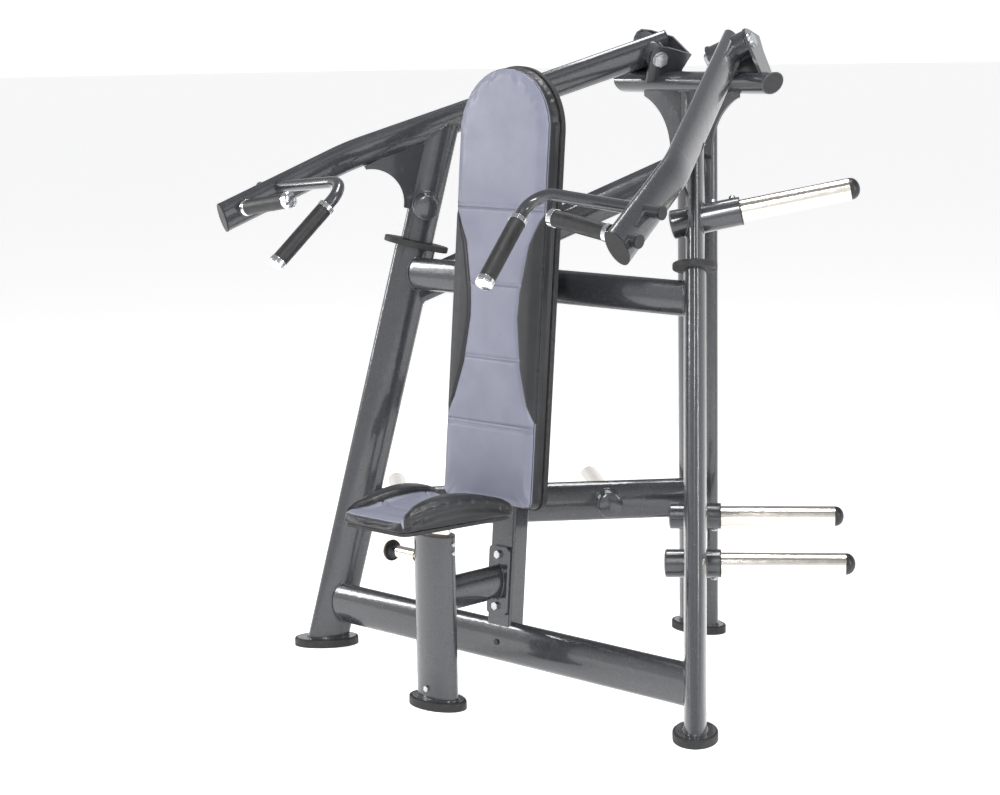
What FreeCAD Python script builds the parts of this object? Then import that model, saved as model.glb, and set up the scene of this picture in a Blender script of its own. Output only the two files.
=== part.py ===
"""Plate-loaded shoulder press machine with two independent overhead press arms.

Frame: +Z up, the user faces -Y, the user's left hand is on +X, millimetres.
The origin is on the floor, under the middle of the machine's outer box.
"""
import FreeCAD, Part
import math
import os

Vector = FreeCAD.Vector

# ---- driving dimensions (mm, degrees) ----------------------------------------
POST_Y = 523.9            # rear post axis, behind the origin
SIDE_ANGLE = 39.8         # plan angle of each side frame from straight ahead
FOOT_REACH = 952.0        # rear post axis to front foot, along the side frame
UPRIGHT_LEAN = 0.246      # rearward lean of an upright per unit of height
STOP_HEIGHT = 1000.0      # underside of a stop pad on the upright's axis
WALL = 3.0                # wall of the frame tubes

BIG_OVAL = (100.0, 50.0)  # uprights, lower braces, cross tubes
MID_OVAL = (80.0, 40.0)   # press arms, legs, upper braces, seat link, middle cross tube
POST_OVAL = (120.0, 60.0) # rear post and seat post
TOP_OVAL = (80.0, 54.0)   # top cross tube, front to back and height

FOOT_SIZE = (160.0, 100.0)
BOOT_HEIGHT = 20.0
FOOT_PLATE = 8.0
FOOT_RIM = 6.0
STOP_PAD_THICK = 15.0

LOWER_BRACE_Z = 345.0
UPPER_BRACE_FRONT_Z = 885.0   # brace axis where it meets the upright
UPPER_BRACE_REAR_Z = 1196.0   # brace axis where it meets the rear post
FRONT_TUBE_Z = 110.0
FRONT_PLUG = (4.0, 112.0)     # x and z of the plug in the front cross tube
MIDDLE_TUBE_Z = 936.0

TOP_TUBE_Z = 1391.0
TOP_TUBE_FORWARD = 2.0
TOP_TUBE_HALF = 231.0         # half length along its underside
TOP_TUBE_FLARE = 17.0         # extra half length along its top
GUSSET_FORWARD = 22.0         # rear post axis to the gusset plates' middle plane
GUSSET_SPAN = 152.0           # rear post axis to the gusset's outer corner
GUSSET_DROP = 158.0
GUSSET_THICK = 8.0

PIVOT = (128.7, -25.2, 1470.9)      # pivot centre, y counted from the rear post
PIVOT_TURN = 22.8                   # plan angle of the pivot axis from +X
PIVOT_RISE = 23.9                   # outward rise of the pivot axis
ARM_BEND = (524.0, -690.5, 1230.0)
ARM_END = (634.0, -997.0, 1096.5)
ARM_TAIL = 40.0                     # arm tube behind the pivot
ARM_BEND_RADIUS = 400.0
BARREL_RADIUS = 30.0
BARREL_LENGTH = 94.0
BUSH_RADIUS = 20.0
BUSH_LENGTH = 30.0
BOLT_RADIUS = 12.0
RUNNING_GAP = 0.05                  # radial, bolt in bush
FIT_GAP = 0.1                       # radial, fixed round parts in their holes
BRACKET_GAP = 0.5                   # barrel end to bracket plate, each side
BRACKET_PLATE = 8.0

HORN_RADIUS = 25.0
HORN_SEAT_RADIUS = 24.5             # bore of the sockets and mouth rings
SOCKET_RADIUS = 32.0
SOCKET_DOME = 9.0                   # height of the domed blind end of a socket
MOUTH_RING = 3.0
HORN_CAP_LENGTH = 22.0
ARM_HORN_Z = 1108.0
ARM_HORN_RISE = 11.0
ARM_SOCKET = (-57.0, 102.0)         # socket ends along the horn axis
ARM_HORN_TIP = 369.0
STORAGE_REACH = (235.0, 750.0)      # rear and front storage horns
STORAGE_Z = 345.0
STORAGE_SOCKET = (-72.0, 54.0)
STORAGE_HORN_TIP = 355.0

HANDLE_RADIUS = 14.0
GRIP_RADIUS = 18.5
COLLAR_RADIUS = 20.0
COLLAR_LENGTH = 11.0
STRAIGHT_GRIP = ((622.0, -965.0, 1114.0), (417.0, -967.0, 1146.0))
BENT_HANDLE = ((603.0, -874.0, 1162.0), (298.0, -893.0, 1190.0), (338.0, -1091.0, 1006.0))
BENT_RADIUS = 55.0
BENT_GRIP_LENGTH = 185.0
STUB_REACH = 40.0                   # handle axis to stub end, outside the arm

SEAT_Y = -925.0                     # seat post axis, y counted from the rear post
SEAT_POST_TOP = 401.0
SEAT_TUBE = (98.0, 38.0)
SEAT_SLIDE_GAP = 0.3
SEAT_SCREW_DROP = (16.0, 36.0)      # side screws below the post top
POST_SCREW = (-4.0, 44.0)           # x and z of the front screw low on the seat post
LINK_Z = 255.0
FLANGE = (62.0, 160.0, 10.0)
FLANGE_BOLT = 61.0                  # flange centre to each bolt
PIN_Z = 343.0
PIN_HOUSING_RADIUS = 14.0
PIN_HOUSING_LENGTH = 60.0
PIN_SPIGOT_RADIUS = 10.0
PIN_RADIUS = 6.0
PIN_TRAVEL = 12.0
PIN_NOSE = 10.0                     # plunger nose inside the post's outer face
PIN_SHOULDER = (7.0, 4.0)           # ends of the plunger's shoulder, inside that face
PIN_LIP = 5.0                       # housing lip that holds the spring
KNOB_RADIUS = 24.0

CENTRE_POST = (75.0, 48.0)
CENTRE_POST_TOP = 1120.0
BACK_LEAN = 5.2                     # lean of the centre post and back pad
CENTRE_POST_BASE = (-697.0, 200.0)  # y from the rear post, z, on its axis
BRIDGE_PLATE = (6.0, 70.0, 25.0)    # thickness, height, distance from the middle plane
PAD_WIDTH = 302.0
PAD_BOTTOM_Z = 434.0
PAD_TOP_Z = 1446.0
PAD_THICK = 42.0
BOARD_THICK = 13.0
BOARD_INSET = 2.0
PAD_STRAP = (190.0, 44.0, 12.0)
PAD_STRAP_Z = (580.0, 1020.0)
PAD_BOLT_X = 72.0
SCREW_GAP = 0.2                     # radial, screw shanks in their holes

SEAT_FRONT_Y = -1120.0
SEAT_BACK_Y = -798.0
SEAT_FRONT_WIDTH = 220.0
SEAT_BACK_WIDTH = 294.0
SEAT_BOTTOM_Z = 446.0
SEAT_CREST = (-962.0, 505.0)        # y and z of the cushion's highest line
SEAT_ARCH_RADIUS = 421.0            # side view of the cushion's top
SEAT_BOARD = 8.0
SEAT_PLATE = 6.0

SIDES = (("left", 1.0), ("right", -1.0))


# ---- basic geometry ------------------------------------------------------------
def unit(v):
    return v * (1.0 / v.Length)


def at(x, y, z, side=1.0):
    """Point with y counted from the rear post, mirrored to one side."""
    return Vector(side * x, POST_Y + y, z)


def side_forward(side):
    angle = math.radians(SIDE_ANGLE)
    return Vector(side * math.sin(angle), -math.cos(angle), 0)


def side_outward(side):
    angle = math.radians(SIDE_ANGLE)
    return Vector(side * math.cos(angle), math.sin(angle), 0)


def side_point(side, reach, z, out=0.0):
    """Point of a side frame: distance from the rear post, height, and offset outward."""
    return Vector(0, POST_Y, z) + side_forward(side) * reach + side_outward(side) * out


def upright_reach(z):
    return FOOT_REACH - UPRIGHT_LEAN * z


def upright_axis(side):
    return unit(Vector(0, 0, 1) - side_forward(side) * UPRIGHT_LEAN)


def upright_wide(side):
    return unit(side_forward(side) + Vector(0, 0, 1) * UPRIGHT_LEAN)


def pivot_axis(side):
    turn = math.radians(PIVOT_TURN)
    rise = math.radians(PIVOT_RISE)
    flat = math.cos(rise)
    return Vector(side * flat * math.cos(turn), flat * math.sin(turn), math.sin(rise))


def placed(shape, origin, z_dir, x_dir):
    """Move a shape from local axes to an origin, a local Z and a local X direction."""
    z = unit(z_dir)
    x = unit(x_dir - z * x_dir.dot(z))
    y = z.cross(x)
    matrix = FreeCAD.Matrix(x.x, y.x, z.x, origin.x,
                            x.y, y.y, z.y, origin.y,
                            x.z, y.z, z.z, origin.z,
                            0, 0, 0, 1)
    return moved(shape, matrix)


def moved(shape, matrix):
    copy = shape.copy()
    copy.Placement = FreeCAD.Placement(matrix)
    return copy


def oval(length, width):
    """Elliptical wire in XY, centred on the origin, long side along X."""
    return Part.Wire(Part.Ellipse(Vector(0, 0, 0), length / 2.0, width / 2.0).toShape())


def prism(wire, height):
    return Part.Face(wire).extrude(Vector(0, 0, height))


def bar(start, end, size, wide_dir):
    """Solid oval bar between two points; wide_dir is its section's long side."""
    span = end - start
    return placed(prism(oval(size[0], size[1]), span.Length), start, span, wide_dir)


def tube(start, end, size, wide_dir, wall=WALL):
    inner = (size[0] - 2 * wall, size[1] - 2 * wall)
    return bar(start, end, size, wide_dir).cut(bar(start, end, inner, wide_dir))


def rod(start, end, radius):
    span = end - start
    return Part.makeCylinder(radius, span.Length, start, span)


def pipe(start, end, radius, bore):
    return rod(start, end, radius).cut(rod(start, end, bore))


def block(low, high):
    size = high - low
    return Part.makeBox(size.x, size.y, size.z, low)


def solids(shape):
    """The shape's solids: one as it is, several as a compound."""
    parts = shape.Solids
    return parts[0] if len(parts) == 1 else Part.makeCompound(parts)


def largest(shape):
    return max(shape.Solids, key=lambda s: s.Volume)


def group(shapes):
    return Part.makeCompound([s for shape in shapes for s in shape.Solids])


def hexagon(centre, axis, across, height):
    radius = across / math.sqrt(3.0)
    points = [Vector(radius * math.cos(math.radians(60 * i)),
                     radius * math.sin(math.radians(60 * i)), 0) for i in range(6)]
    wire = Part.makePolygon(points + [points[0]])
    wide = Vector(0, 0, 1) if abs(unit(axis).z) < 0.9 else Vector(1, 0, 0)
    return placed(prism(wire, height), centre, axis, wide)


def screw(seat, axis, shank_radius, shank_length, across, head):
    """Hex screw: head outside the seat point, shank going in against the axis."""
    shank = rod(seat, seat - unit(axis) * shank_length, shank_radius)
    return hexagon(seat, axis, across, head).fuse(shank).removeSplitter()


def dome(centre, axis, radius, length):
    """Hemispherical end cap: short collar, then a round nose of the same radius."""
    straight = max(length - radius, 2.0)
    nose = length - straight
    ball = Part.makeSphere(radius)
    matrix = FreeCAD.Matrix()
    matrix.scale(1.0, 1.0, nose / radius)
    ball = ball.transformGeometry(matrix)
    keep = Part.makeBox(4 * radius, 4 * radius, 2 * radius, Vector(-2 * radius, -2 * radius, 0))
    ball = ball.common(keep)
    ball.translate(Vector(0, 0, straight))
    cap = Part.makeCylinder(radius, straight).fuse(ball)
    wide = Vector(0, 0, 1) if abs(unit(axis).z) < 0.9 else Vector(1, 0, 0)
    return placed(cap.removeSplitter(), centre, axis, wide)


def swept(points, radius, section, wide_dir):
    """Sweep a section along a path with one bend between two straight runs."""
    start, corner, end = points
    d1 = unit(corner - start)
    d2 = unit(end - corner)
    turn = d1.getAngle(d2)
    setback = radius * math.tan(turn / 2.0)
    a = corner - d1 * setback
    b = corner + d2 * setback
    inward = unit(d2 - d1)
    middle = corner + inward * (radius / math.cos(turn / 2.0) - radius)
    path = Part.Wire([Part.LineSegment(start, a).toShape(),
                      Part.Arc(a, middle, b).toShape(),
                      Part.LineSegment(b, end).toShape()])
    profile = placed(section, start, d1, wide_dir)
    return path.makePipeShell([profile], True, False)


# ---- side frames ------------------------------------------------------------------
def upright_bar(side, size):
    low = side_point(side, upright_reach(-60.0), -60.0)
    high = side_point(side, upright_reach(STOP_HEIGHT), STOP_HEIGHT)
    full = bar(low, high, size, upright_wide(side))
    floor = block(Vector(-2000, -2000, -500), Vector(2000, 2000, BOOT_HEIGHT))
    return solids(full.cut(floor))


def upright(side):
    lid = upright_axis(side) * 5.0
    high = side_point(side, upright_reach(STOP_HEIGHT), STOP_HEIGHT) - lid
    low = side_point(side, upright_reach(-60.0), -60.0)
    inner = bar(low, high, (BIG_OVAL[0] - 2 * WALL, BIG_OVAL[1] - 2 * WALL), upright_wide(side))
    return solids(upright_bar(side, BIG_OVAL).cut(inner))


def stop_pad(side):
    start = side_point(side, upright_reach(STOP_HEIGHT), STOP_HEIGHT)
    end = start + upright_axis(side) * STOP_PAD_THICK
    pad = bar(start, end, FOOT_SIZE, upright_wide(side))
    return pad.makeFillet(3.0, [e for e in pad.Edges if abs(e.Length) > 30])


def rear_post_bar(size):
    return bar(Vector(0, POST_Y, BOOT_HEIGHT), Vector(0, POST_Y, TOP_TUBE_Z), size, Vector(1, 0, 0))


def rear_post():
    inner = (POST_OVAL[0] - 2 * WALL, POST_OVAL[1] - 2 * WALL)
    post = rear_post_bar(POST_OVAL).cut(rear_post_bar(inner))
    return largest(post.cut(top_tube_bar(TOP_OVAL)))


def lower_brace(side):
    start = side_point(side, 0, LOWER_BRACE_Z)
    end = side_point(side, upright_reach(LOWER_BRACE_Z), LOWER_BRACE_Z)
    brace = tube(start, end, BIG_OVAL, Vector(0, 0, 1))
    brace = brace.cut(rear_post_bar(POST_OVAL)).cut(upright_bar(side, BIG_OVAL))
    brace = brace.cut(middle_keep(side))
    for reach in STORAGE_REACH:
        brace = brace.cut(storage_rod(side, reach, STORAGE_SOCKET, SOCKET_RADIUS))
    return largest(brace)


def middle_keep(side):
    """Half space on the other side of the machine's middle plane."""
    low_x = -2000.0 if side > 0 else 0.0
    return block(Vector(low_x, -2000, 0), Vector(low_x + 2000.0, 2000, 2000))


def upper_brace_ends(side):
    return (side_point(side, 0, UPPER_BRACE_REAR_Z),
            side_point(side, upright_reach(UPPER_BRACE_FRONT_Z), UPPER_BRACE_FRONT_Z))


def upper_brace(side):
    start, end = upper_brace_ends(side)
    brace = tube(start, end, MID_OVAL, Vector(0, 0, 1))
    brace = brace.cut(rear_post_bar(POST_OVAL)).cut(upright_bar(side, BIG_OVAL))
    brace = brace.cut(cross_bar(MIDDLE_TUBE_Z, MID_OVAL))
    return largest(brace.cut(middle_keep(side)))


def storage_rod(side, reach, span, radius):
    return rod(side_point(side, reach, STORAGE_Z, span[0]),
               side_point(side, reach, STORAGE_Z, span[1]), radius)


def foot_frames():
    """Centre and long direction of each of the four feet."""
    frames = [(side_point(side, FOOT_REACH, 0), side_forward(side)) for _, side in SIDES]
    frames.append((Vector(0, POST_Y, 0), Vector(1, 0, 0)))
    frames.append((at(0, SEAT_Y, 0), Vector(1, 0, 0)))
    return frames


def foot_plates():
    size = (FOOT_SIZE[0] - 2 * FOOT_RIM, FOOT_SIZE[1] - 2 * FOOT_RIM)
    up = Vector(0, 0, 1)
    return [bar(c + up * (BOOT_HEIGHT - FOOT_PLATE), c + up * BOOT_HEIGHT, size, wide)
            for c, wide in foot_frames()]


def foot_boots():
    up = Vector(0, 0, 1)
    boots = []
    for centre, wide in foot_frames():
        boot = bar(centre, centre + up * BOOT_HEIGHT, FOOT_SIZE, wide)
        boot = boot.makeFillet(4.0, [e for e in boot.Edges if abs(e.CenterOfMass.z) > 15
                                     and e.BoundBox.ZLength < 0.01])
        boots.append(boot)
    return [boot.cut(plate) for boot, plate in zip(boots, foot_plates())]


# ---- rear head: top cross tube, gussets, pivot brackets ------------------------------
def top_tube_centre():
    return at(0, -TOP_TUBE_FORWARD, TOP_TUBE_Z)


def top_tube_bar(size):
    """Cross tube with both ends cut obliquely: the top is longer than the underside."""
    reach = Vector(TOP_TUBE_HALF + TOP_TUBE_FLARE + 20.0, 0, 0)
    full = bar(top_tube_centre() - reach, top_tube_centre() + reach, size, Vector(0, 1, 0))
    low = TOP_TUBE_Z - TOP_OVAL[1] / 2.0
    high = TOP_TUBE_Z + TOP_OVAL[1] / 2.0
    slope = TOP_TUBE_FLARE / TOP_OVAL[1]
    outline = [Vector(TOP_TUBE_HALF - slope * 10, -1500, low - 10),
               Vector(TOP_TUBE_HALF + TOP_TUBE_FLARE + slope * 10, -1500, high + 10)]
    mirror = [Vector(-p.x, p.y, p.z) for p in reversed(outline)]
    points = outline + mirror
    keep = Part.Face(Part.makePolygon(points + [points[0]])).extrude(Vector(0, 3000, 0))
    return solids(full.common(keep))


def top_tube_inner():
    return top_tube_bar((TOP_OVAL[0] - 2 * WALL, TOP_OVAL[1] - 2 * WALL))


def top_cross_tube():
    return solids(top_tube_bar(TOP_OVAL).cut(top_tube_inner()))


def top_tube_caps():
    """Thin oval plugs that close the oblique ends, flush with the tube mouth."""
    core = top_tube_inner()
    caps = []
    for side in (1.0, -1.0):
        rest = core.copy()
        rest.translate(Vector(-side * 5.0, 0, 0))
        caps.append(largest(core.cut(rest)))
    return caps


def rear_gusset(side):
    """Concave plate between the rear post and the underside of the top cross tube."""
    y = POST_Y - GUSSET_FORWARD
    under = TOP_TUBE_Z - TOP_OVAL[1] / 2.0
    post_edge = POST_OVAL[0] / 2.0
    inner_top = Vector(0, y, TOP_TUBE_Z)
    outer_top = Vector(side * GUSSET_SPAN, y, TOP_TUBE_Z)
    corner = Vector(side * GUSSET_SPAN, y, under - 8)
    bulge = Vector(side * (post_edge + 38), y, under - 50)
    foot = Vector(side * (post_edge + 8), y, under - GUSSET_DROP)
    inner_foot = Vector(0, y, foot.z)
    edges = [Part.LineSegment(inner_top, outer_top).toShape(),
             Part.LineSegment(outer_top, corner).toShape(),
             Part.Arc(corner, bulge, foot).toShape(),
             Part.LineSegment(foot, inner_foot).toShape(),
             Part.LineSegment(inner_foot, inner_top).toShape()]
    plate = Part.Face(Part.Wire(edges)).extrude(Vector(0, GUSSET_THICK, 0))
    plate.translate(Vector(0, -GUSSET_THICK / 2.0, 0))
    start, end = upper_brace_ends(side)
    plate = plate.cut(bar(start, end, MID_OVAL, Vector(0, 0, 1)))
    return largest(plate.cut(top_tube_bar(TOP_OVAL)).cut(rear_post_bar(POST_OVAL)))


def pivot_centre(side):
    return at(PIVOT[0], PIVOT[1], PIVOT[2], side)


def bracket_frame(side):
    """Forward and upward directions in the plane of a bracket's plates."""
    axis = pivot_axis(side)
    forward = unit(Vector(axis.y * side, -axis.x * side, 0))
    up = forward.cross(axis) * side
    return axis, forward, unit(up)


def bracket_outline(side, offset, corners):
    axis, forward, up = bracket_frame(side)
    origin = pivot_centre(side) + axis * offset
    points = [origin + forward * f + up * u for f, u in corners]
    return Part.Face(Part.makePolygon(points + [points[0]]))


def pivot_bracket(side):
    """U-shaped bracket: two plates and a rear web, standing on the top cross tube."""
    axis, forward, up = bracket_frame(side)
    inner = BARREL_LENGTH / 2.0 + BRACKET_GAP
    corners = [(25, 10), (20, 24), (8, 32), (-20, 29), (-86, 10), (-68, -30), (-58, -110), (25, -110)]
    width = 2 * inner + 2 * BRACKET_PLATE
    shell = bracket_outline(side, -inner - BRACKET_PLATE, corners).extrude(axis * width)
    room = [(60, 60), (-22, 60), (-78, 38), (-78, 10), (-60, -30), (-50, -130), (60, -130)]
    gap = bracket_outline(side, -inner, room).extrude(axis * (2 * inner))
    shell = shell.cut(gap).cut(top_tube_bar(TOP_OVAL))
    centre = pivot_centre(side)
    hole = rod(centre - axis * 90, centre + axis * 90, BOLT_RADIUS + 2 * RUNNING_GAP)
    below = block(Vector(-600, 0, 1000), Vector(600, 1200, TOP_TUBE_Z))
    return largest(shell.cut(hole).cut(below))


def pivot_bolt(side):
    """Through bolt with head and washer outside, washer and nut inside."""
    axis = pivot_axis(side)
    centre = pivot_centre(side)
    face = BARREL_LENGTH / 2.0 + BRACKET_GAP + BRACKET_PLATE
    washer = 2.5
    head = 6.0
    nut_height = 8.0
    out = centre + axis * (face + washer)
    back = centre - axis * (face + washer)
    bolt = rod(back - axis * (nut_height + 2), out, BOLT_RADIUS).fuse(hexagon(out, axis, 32, head))
    gap = BOLT_RADIUS + 2 * RUNNING_GAP
    outer_washer = pipe(centre + axis * face, out, 20, gap)
    inner_washer = pipe(back, centre - axis * face, 20, gap)
    nut = hexagon(back, axis * -1.0, 32, nut_height).cut(rod(back + axis, back - axis * 20, gap))
    return [bolt.removeSplitter(), outer_washer, inner_washer, nut]


# ---- cross tubes, centre post ----------------------------------------------------------
def cross_bar(z, size):
    reach = upright_reach(z)
    left = side_point(1.0, reach, z)
    right = side_point(-1.0, reach, z)
    return bar(right, left, size, Vector(0, 0, 1))


def cross_tube(z, size):
    inner = (size[0] - 2 * WALL, size[1] - 2 * WALL)
    shell = cross_bar(z, size).cut(cross_bar(z, inner))
    for _, side in SIDES:
        shell = shell.cut(upright_bar(side, BIG_OVAL))
    return shell


def lean_back():
    lean = math.radians(BACK_LEAN)
    return Vector(0, math.sin(lean), math.cos(lean))


def lean_normal():
    """Forward normal of the leaning back pad."""
    lean = math.radians(BACK_LEAN)
    return Vector(0, -math.cos(lean), math.sin(lean))


def centre_axis(z):
    base = at(0, CENTRE_POST_BASE[0], CENTRE_POST_BASE[1])
    return base + lean_back() * ((z - CENTRE_POST_BASE[1]) / math.cos(math.radians(BACK_LEAN)))


def rounded_rect(width, depth, radius):
    x = width / 2.0
    y = depth / 2.0
    box = Part.makeBox(width, depth, 10.0, Vector(-x, -y, 0))
    box = box.makeFillet(radius, [e for e in box.Edges if e.BoundBox.ZLength > 5])
    bottom = [f for f in box.Faces if f.BoundBox.ZLength < 0.01 and f.CenterOfMass.z < 1]
    return bottom[0].OuterWire


def centre_post_bar(grow):
    low = centre_axis(60.0)
    span = centre_axis(CENTRE_POST_TOP) - low
    wire = rounded_rect(CENTRE_POST[0] + grow, CENTRE_POST[1] + grow, 6.0 + grow / 2.0)
    return placed(Part.Face(wire).extrude(Vector(0, 0, span.Length)), low, span, Vector(1, 0, 0))


def centre_post():
    post = centre_post_bar(0).cut(centre_post_bar(-2 * WALL))
    post = post.cut(cross_bar(FRONT_TUBE_Z, BIG_OVAL))
    return largest(post.cut(block(Vector(-200, -900, -200), Vector(200, 900, FRONT_TUBE_Z))))


def post_bridge():
    """Two upright plates that join the centre post to the middle cross tube."""
    thick, height, offset = BRIDGE_PLATE
    low = centre_axis(MIDDLE_TUBE_Z) - Vector(0, 0, height / 2.0)
    plates = []
    for x in (offset, -offset):
        plate = block(Vector(x - thick / 2.0, low.y, low.z),
                      Vector(x + thick / 2.0, low.y + 80.0, low.z + height))
        plate = plate.cut(centre_post_bar(0)).cut(cross_bar(MIDDLE_TUBE_Z, MID_OVAL))
        plates.append(min(plate.Solids, key=lambda piece: piece.CenterOfMass.y))
    return plates


def post_top_cap():
    top = centre_axis(CENTRE_POST_TOP)
    wire = rounded_rect(CENTRE_POST[0], CENTRE_POST[1], 6.0)
    cap = Part.Face(wire).extrude(Vector(0, 0, 4.0))
    return placed(cap, top, lean_back(), Vector(1, 0, 0))


def tube_plug():
    """Small round plug in the front face of the front cross tube."""
    face = side_point(1.0, upright_reach(FRONT_TUBE_Z), FRONT_TUBE_Z).y - BIG_OVAL[1] / 2.0
    start = Vector(FRONT_PLUG[0], face, FRONT_PLUG[1])
    return rod(start, start + Vector(0, -3, 0), 7.0)


# ---- seat post, link and pull pin ---------------------------------------------------------
def seat_point(z):
    return at(0, SEAT_Y, z)


def seat_post_bar(size):
    return bar(seat_point(BOOT_HEIGHT), seat_point(SEAT_POST_TOP), size, Vector(1, 0, 0))


def post_screws():
    """Seat, outward direction, shank radius and head size of each seat post screw."""
    x = POST_OVAL[0] / 2.0
    screws = [(at(x, SEAT_Y, SEAT_POST_TOP - drop), Vector(1, 0, 0), 2.5, 9) for drop in SEAT_SCREW_DROP]
    front = at(POST_SCREW[0], SEAT_Y - POST_OVAL[1] / 2.0, POST_SCREW[1])
    return screws + [(front, Vector(0, -1, 0), 4.0, 13)]


def seat_post():
    inner = (POST_OVAL[0] - 2 * WALL, POST_OVAL[1] - 2 * WALL)
    post = seat_post_bar(POST_OVAL).cut(seat_post_bar(inner))
    x = -POST_OVAL[0] / 2.0
    post = post.cut(rod(at(x - 10, SEAT_Y, PIN_Z), at(x + 20, SEAT_Y, PIN_Z), PIN_SPIGOT_RADIUS + FIT_GAP))
    for seat, outward, radius, _ in post_screws():
        post = post.cut(rod(seat + outward, seat - outward * (WALL + 2), radius + SCREW_GAP))
    return largest(post)


def seat_sleeve():
    """Plastic guide between the post and the sliding seat tube, with a top flange."""
    inner = (POST_OVAL[0] - 2 * WALL, POST_OVAL[1] - 2 * WALL)
    gap = 2 * SEAT_SLIDE_GAP
    bore = (SEAT_TUBE[0] + gap, SEAT_TUBE[1] + gap)
    wide = Vector(1, 0, 0)
    body = bar(seat_point(SEAT_POST_TOP - 90), seat_point(SEAT_POST_TOP + 4), inner, wide)
    flange = bar(seat_point(SEAT_POST_TOP), seat_point(SEAT_POST_TOP + 4), POST_OVAL, wide)
    cavity = bar(seat_point(0), seat_point(SEAT_POST_TOP + 60), bore, wide)
    pin = rod(at(-100, SEAT_Y, PIN_Z), at(0, SEAT_Y, PIN_Z), PIN_SPIGOT_RADIUS + FIT_GAP)
    return largest(body.fuse(flange).cut(cavity).cut(pin).removeSplitter())


def link_tube():
    start = at(0, SEAT_Y, LINK_Z)
    face = centre_axis(LINK_Z) + lean_normal() * (CENTRE_POST[1] / 2.0 + FLANGE[2])
    end = Vector(0, face.y + 12.0, LINK_Z)
    link = tube(start, end, MID_OVAL, Vector(0, 0, 1))
    behind = placed(Part.makeBox(400, 400, 100, Vector(-200, -200, -100)), face,
                    lean_normal(), Vector(1, 0, 0))
    return largest(link.cut(seat_post_bar(POST_OVAL)).cut(behind))


def flange_centre():
    return centre_axis(LINK_Z) + lean_normal() * (CENTRE_POST[1] / 2.0)


def link_flange():
    wire = rounded_rect(FLANGE[0], FLANGE[1], 9.0)
    plate = Part.Face(wire).extrude(Vector(0, 0, FLANGE[2]))
    plate = placed(plate, flange_centre(), lean_normal(), Vector(1, 0, 0))
    for bolt in flange_bolt_seats():
        plate = plate.cut(rod(bolt, bolt - lean_normal() * 30, 5.0 + SCREW_GAP))
    return solids(plate)


def flange_bolt_seats():
    seat = flange_centre() + lean_normal() * FLANGE[2]
    return [seat + lean_back() * FLANGE_BOLT, seat - lean_back() * FLANGE_BOLT]


def frame_bolts():
    """Flange bolts and seat post screws, as separate solids."""
    bolts = [screw(seat, lean_normal(), 5.0, FLANGE[2] - 0.1, 17, 7) for seat in flange_bolt_seats()]
    for seat, outward, radius, across in post_screws():
        bolts.append(screw(seat, outward, radius, WALL - 0.5, across, radius + 1))
    return bolts


def pin_start():
    return at(-POST_OVAL[0] / 2.0, SEAT_Y, PIN_Z)


def pin_x(distance):
    return pin_start() + Vector(-distance, 0, 0)


def pin_housing():
    """Bored barrel on the seat post; its rear lip holds the spring."""
    body = rod(pin_x(0.0), pin_x(PIN_HOUSING_LENGTH), PIN_HOUSING_RADIUS)
    spigot = rod(pin_x(-8.0), pin_x(0.0), PIN_SPIGOT_RADIUS)
    room = rod(pin_x(-8.0), pin_x(PIN_HOUSING_LENGTH - PIN_LIP), PIN_RADIUS + 3.0)
    through = rod(pin_x(-10.0), pin_x(PIN_HOUSING_LENGTH + 1.0), PIN_RADIUS + RUNNING_GAP)
    return solids(body.fuse(spigot).cut(room).cut(through).removeSplitter())


def pin_spring():
    """Spring behind the plunger's shoulder, drawn at the length left at full pull."""
    wire_radius = 0.8
    radius = PIN_RADIUS + 1.5
    turns = 12
    low = PIN_TRAVEL - PIN_SHOULDER[1] + wire_radius + 0.1
    high = PIN_HOUSING_LENGTH - PIN_LIP - wire_radius - 0.1
    pitch = (high - low) / turns
    helix = Part.makeHelix(pitch, pitch * turns, radius)
    circle = Part.Wire(Part.makeCircle(wire_radius, Vector(radius, 0, 0), Vector(0, 1, 0)))
    coil = Part.Wire(helix.Edges).makePipeShell([circle], True, True)
    return placed(coil, pin_x(low), Vector(-1, 0, 0), Vector(0, 0, 1))


def pin_plunger():
    stem = rod(pin_x(-PIN_NOSE), pin_x(PIN_HOUSING_LENGTH + 14.0), PIN_RADIUS)
    shoulder = rod(pin_x(-PIN_SHOULDER[0]), pin_x(-PIN_SHOULDER[1]), PIN_RADIUS + 2.6)
    return solids(stem.fuse(shoulder).removeSplitter())


def pull_knob():
    """Trumpet-shaped knob: narrow neck at the housing, wide face outward."""
    start = PIN_HOUSING_LENGTH + 1.0
    length = 26.0
    neck = 9.0
    profile = [Vector(0, 0, 0), Vector(neck, 0, 0), Vector(neck, 0, 4)]
    edges = [Part.LineSegment(profile[0], profile[1]).toShape(),
             Part.LineSegment(profile[1], profile[2]).toShape(),
             Part.Arc(profile[2], Vector(13, 0, 14), Vector(KNOB_RADIUS, 0, 19)).toShape(),
             Part.Arc(Vector(KNOB_RADIUS, 0, 19), Vector(KNOB_RADIUS + 1, 0, 22.5),
                      Vector(KNOB_RADIUS, 0, length)).toShape(),
             Part.LineSegment(Vector(KNOB_RADIUS, 0, length), Vector(0, 0, length)).toShape(),
             Part.LineSegment(Vector(0, 0, length), profile[0]).toShape()]
    knob = Part.Face(Part.Wire(edges)).revolve(Vector(0, 0, 0), Vector(0, 0, 1), 360)
    knob = placed(knob, pin_x(start), Vector(-1, 0, 0), Vector(0, 0, 1))
    return largest(knob.cut(rod(pin_x(0), pin_x(PIN_HOUSING_LENGTH + 14.0), PIN_RADIUS)))


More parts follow.
